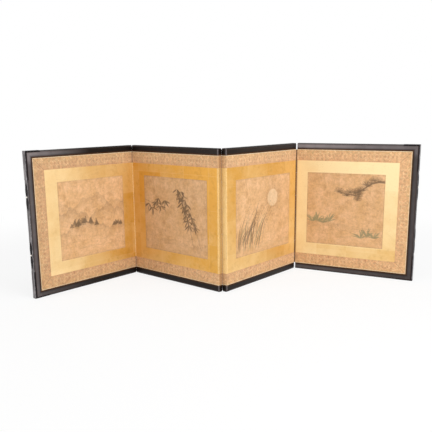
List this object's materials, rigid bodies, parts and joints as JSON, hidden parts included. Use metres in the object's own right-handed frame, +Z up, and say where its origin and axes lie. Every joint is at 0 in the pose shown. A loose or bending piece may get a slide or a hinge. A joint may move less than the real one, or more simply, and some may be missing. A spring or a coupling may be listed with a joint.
{
  "type": "folding screen",
  "caption": "Low folding screen of hinged papered panels with black lacquered frames, brocade and gold-leaf borders round picture leaves, standing in a zigzag.",
  "frame": {"origin": "on the floor, under the middle of the bounding box of the screen as it stands in its zigzag", "axes": "+X along the screen from the left panel to the right one seen from the front, +Y from the front to the back, +Z up"},
  "size_m": [1.2402, 0.3804, 0.4558],
  "materials": {
    "cedar": "planed unfinished cedar",
    "layered_paper": "handmade paper, matt",
    "back_paper": "printed backing paper, matt",
    "gold_paper": "gold-leaf paper, satin",
    "picture_paper": "aged painted paper, matt",
    "brocade": "woven silk brocade",
    "black_lacquer": "black lacquer on wood, semi-gloss",
    "dark_metal": "blackened copper, satin",
    "bright_metal": "worn brass",
    "iron": "forged iron"
  },
  "bodies": {
    "panel_1": {"panel_1_core_frame": "cedar", "panel_1_core_lattice": "cedar", "panel_1_under_paper": "layered_paper", "panel_1_back_paper": "back_paper", "panel_1_hinge_paper": "gold_paper", "panel_1_gold_border": "gold_paper", "panel_1_picture": "picture_paper", "panel_1_brocade": "brocade", "panel_1_top_rail": "black_lacquer", "panel_1_bottom_rail": "black_lacquer", "panel_1_nails": "iron", "left_stile": "black_lacquer", "left_top_corner": "dark_metal", "left_bottom_corner": "dark_metal", "left_side_plates": "dark_metal", "left_side_studs": "bright_metal"},
    "panel_2": {"panel_2_core_frame": "cedar", "panel_2_core_lattice": "cedar", "panel_2_under_paper": "layered_paper", "panel_2_back_paper": "back_paper", "panel_2_hinge_paper": "gold_paper", "panel_2_gold_border": "gold_paper", "panel_2_picture": "picture_paper", "panel_2_brocade": "brocade", "panel_2_top_rail": "black_lacquer", "panel_2_bottom_rail": "black_lacquer", "panel_2_nails": "iron"},
    "panel_3": {"panel_3_core_frame": "cedar", "panel_3_core_lattice": "cedar", "panel_3_under_paper": "layered_paper", "panel_3_back_paper": "back_paper", "panel_3_hinge_paper": "gold_paper", "panel_3_gold_border": "gold_paper", "panel_3_picture": "picture_paper", "panel_3_brocade": "brocade", "panel_3_top_rail": "black_lacquer", "panel_3_bottom_rail": "black_lacquer", "panel_3_nails": "iron"},
    "panel_4": {"panel_4_core_frame": "cedar", "panel_4_core_lattice": "cedar", "panel_4_under_paper": "layered_paper", "panel_4_back_paper": "back_paper", "panel_4_hinge_paper": "gold_paper", "panel_4_gold_border": "gold_paper", "panel_4_picture": "picture_paper", "panel_4_brocade": "brocade", "panel_4_top_rail": "black_lacquer", "panel_4_bottom_rail": "black_lacquer", "panel_4_nails": "iron", "right_stile": "black_lacquer", "right_top_corner": "dark_metal", "right_bottom_corner": "dark_metal", "right_side_plates": "dark_metal", "right_side_studs": "bright_metal"},
    "fold_12_leaves_a": {"fold_12_leaves_a": "gold_paper"},
    "fold_12_leaves_b": {"fold_12_leaves_b": "gold_paper"},
    "fold_23_leaves_a": {"fold_23_leaves_a": "gold_paper"},
    "fold_23_leaves_b": {"fold_23_leaves_b": "gold_paper"},
    "fold_34_leaves_a": {"fold_34_leaves_a": "gold_paper"},
    "fold_34_leaves_b": {"fold_34_leaves_b": "gold_paper"}
  },
  "joints": [
    {"name": "fold_12_front_turn", "type": "hinge", "parent": "panel_2", "child": "fold_12_leaves_a", "pos_m": [-0.33679, 0.129, 0.2275], "axis": [0, 0, 1], "range_deg": [-91.5, 88.5]},
    {"name": "fold_12_back_turn", "type": "hinge", "parent": "fold_12_leaves_a", "child": "panel_1", "pos_m": [-0.35076, 0.14081, 0.2275], "axis": [0, 0, 1], "range_deg": [-180, 0]},
    {"name": "fold_12_leaves_b_turn", "type": "hinge", "parent": "panel_2", "child": "fold_12_leaves_b", "pos_m": [-0.32461, 0.14266, 0.2275], "axis": [0, 0, 1], "range_deg": [-181, 1]},
    {"name": "fold_23_back_turn", "type": "hinge", "parent": "panel_2", "child": "fold_23_leaves_a", "pos_m": [-0.02738, -0.12216, 0.2275], "axis": [0, 0, 1], "range_deg": [-92.2, 87.8]},
    {"name": "fold_23_front_turn", "type": "hinge", "parent": "fold_23_leaves_a", "child": "panel_3", "pos_m": [-0.01326, -0.13381, 0.2275], "axis": [0, 0, 1], "range_deg": [-180, 0]},
    {"name": "fold_23_leaves_b_turn", "type": "hinge", "parent": "panel_2", "child": "fold_23_leaves_b", "pos_m": [-0.03955, -0.13583, 0.2275], "axis": [0, 0, 1], "range_deg": [-181, 1]},
    {"name": "fold_34_front_turn", "type": "hinge", "parent": "panel_3", "child": "fold_34_leaves_a", "pos_m": [0.24057, 0.17411, 0.2275], "axis": [0, 0, -1], "range_deg": [-78.4, 101.6]},
    {"name": "fold_34_back_turn", "type": "hinge", "parent": "fold_34_leaves_a", "child": "panel_4", "pos_m": [0.24913, 0.19028, 0.2275], "axis": [0, 0, -1], "range_deg": [-180, 0]},
    {"name": "fold_34_leaves_b_turn", "type": "hinge", "parent": "panel_3", "child": "fold_34_leaves_b", "pos_m": [0.22645, 0.18575, 0.2275], "axis": [0, 0, -1], "range_deg": [-181, 1]}
  ],
  "couplings": [
    {"joint": "fold_12_leaves_b_turn", "follows": "fold_12_back_turn", "ratio": 1},
    {"joint": "fold_23_leaves_b_turn", "follows": "fold_23_front_turn", "ratio": 1},
    {"joint": "fold_34_leaves_b_turn", "follows": "fold_34_back_turn", "ratio": 1}
  ]
}
